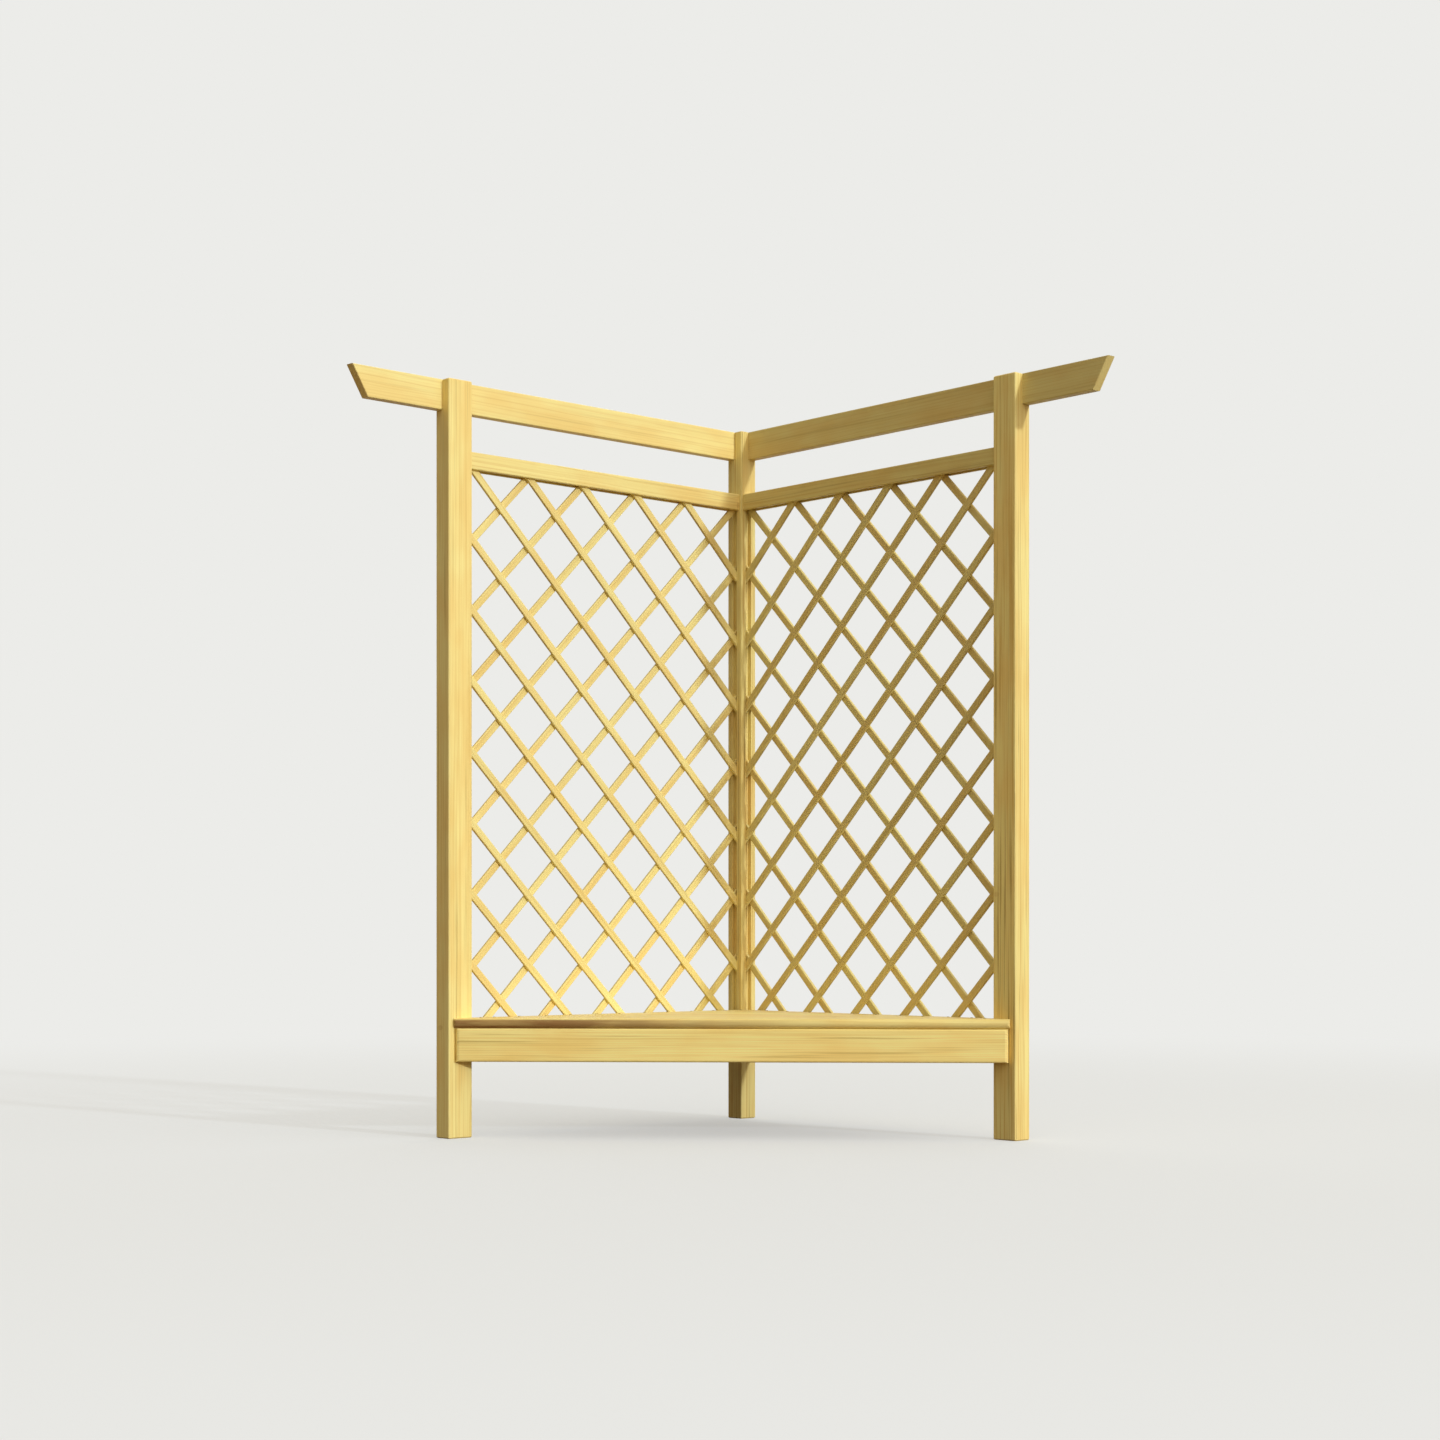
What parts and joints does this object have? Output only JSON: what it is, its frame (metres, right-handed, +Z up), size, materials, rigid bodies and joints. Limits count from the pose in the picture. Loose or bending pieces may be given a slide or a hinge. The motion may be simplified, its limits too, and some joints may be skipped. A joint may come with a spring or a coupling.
{
  "type": "corner arbour seat",
  "caption": "Corner garden arbour: trellis wings set at a right angle, raked top beams above them, and a triangular plank seat in between.",
  "frame": {"origin": "on the ground, under the middle of the bounding box", "axes": "+Z up, the open side of the seat faces -Y, and the rear corner post stands on the Y axis; +X to the sitter's left, a viewer's right from the front"},
  "size_m": [2.0464, 1.0432, 2.09],
  "materials": {
    "post": "planed pressure-treated pine, pale yellow, eased arrises",
    "beam": "planed pressure-treated pine, pale yellow, eased arrises and a sawn raked end",
    "rail": "planed pressure-treated pine, pale yellow, slightly darker",
    "lath": "planed pressure-treated pine, pale yellow, rounded edges, fine straight grain",
    "seat": "planed pressure-treated pine, pale yellow, rounded front edge",
    "bearer": "planed pressure-treated pine, pale yellow, sawn, slightly darker"
  },
  "bodies": {
    "root": {"front_post_left": "post", "front_post_right": "post", "left_back_lath_01": "lath", "left_back_lath_02": "lath", "left_back_lath_03": "lath", "left_back_lath_04_with_corner_lath": "lath", "left_back_lath_05": "lath", "left_back_lath_06": "lath", "left_back_lath_07_with_corner_lath": "lath", "left_back_lath_08": "lath", "left_back_lath_09": "lath", "left_back_lath_10": "lath", "left_front_lath_01": "lath", "left_front_lath_02": "lath", "left_front_lath_03": "lath", "left_front_lath_04_with_corner_lath": "lath", "left_front_lath_05": "lath", "left_front_lath_06": "lath", "left_front_lath_07_with_corner_lath": "lath", "left_front_lath_08": "lath", "left_front_lath_09": "lath", "left_front_lath_10": "lath", "rear_post": "post", "right_back_lath_01": "lath", "right_back_lath_02": "lath", "right_back_lath_03": "lath", "right_back_lath_04_with_corner_lath": "lath", "right_back_lath_05": "lath", "right_back_lath_06": "lath", "right_back_lath_07_with_corner_lath": "lath", "right_back_lath_08": "lath", "right_back_lath_09": "lath", "right_back_lath_10": "lath", "right_front_lath_01": "lath", "right_front_lath_02": "lath", "right_front_lath_03": "lath", "right_front_lath_04_with_corner_lath": "lath", "right_front_lath_05": "lath", "right_front_lath_06": "lath", "right_front_lath_07_with_corner_lath": "lath", "right_front_lath_08": "lath", "right_front_lath_09": "lath", "right_front_lath_10": "lath", "seat_apron": "beam", "seat_batten_left": "bearer", "seat_batten_right": "bearer", "seat_bearer": "bearer", "seat_board_1": "seat", "seat_board_2": "seat", "seat_board_3": "seat", "seat_board_4": "seat", "seat_board_5": "seat", "seat_board_6": "seat", "seat_rail_left": "rail", "seat_rail_right": "rail", "top_beam_left": "beam", "top_beam_right": "beam", "trellis_rail_left": "rail", "trellis_rail_right": "rail"}
  },
  "joints": []
}
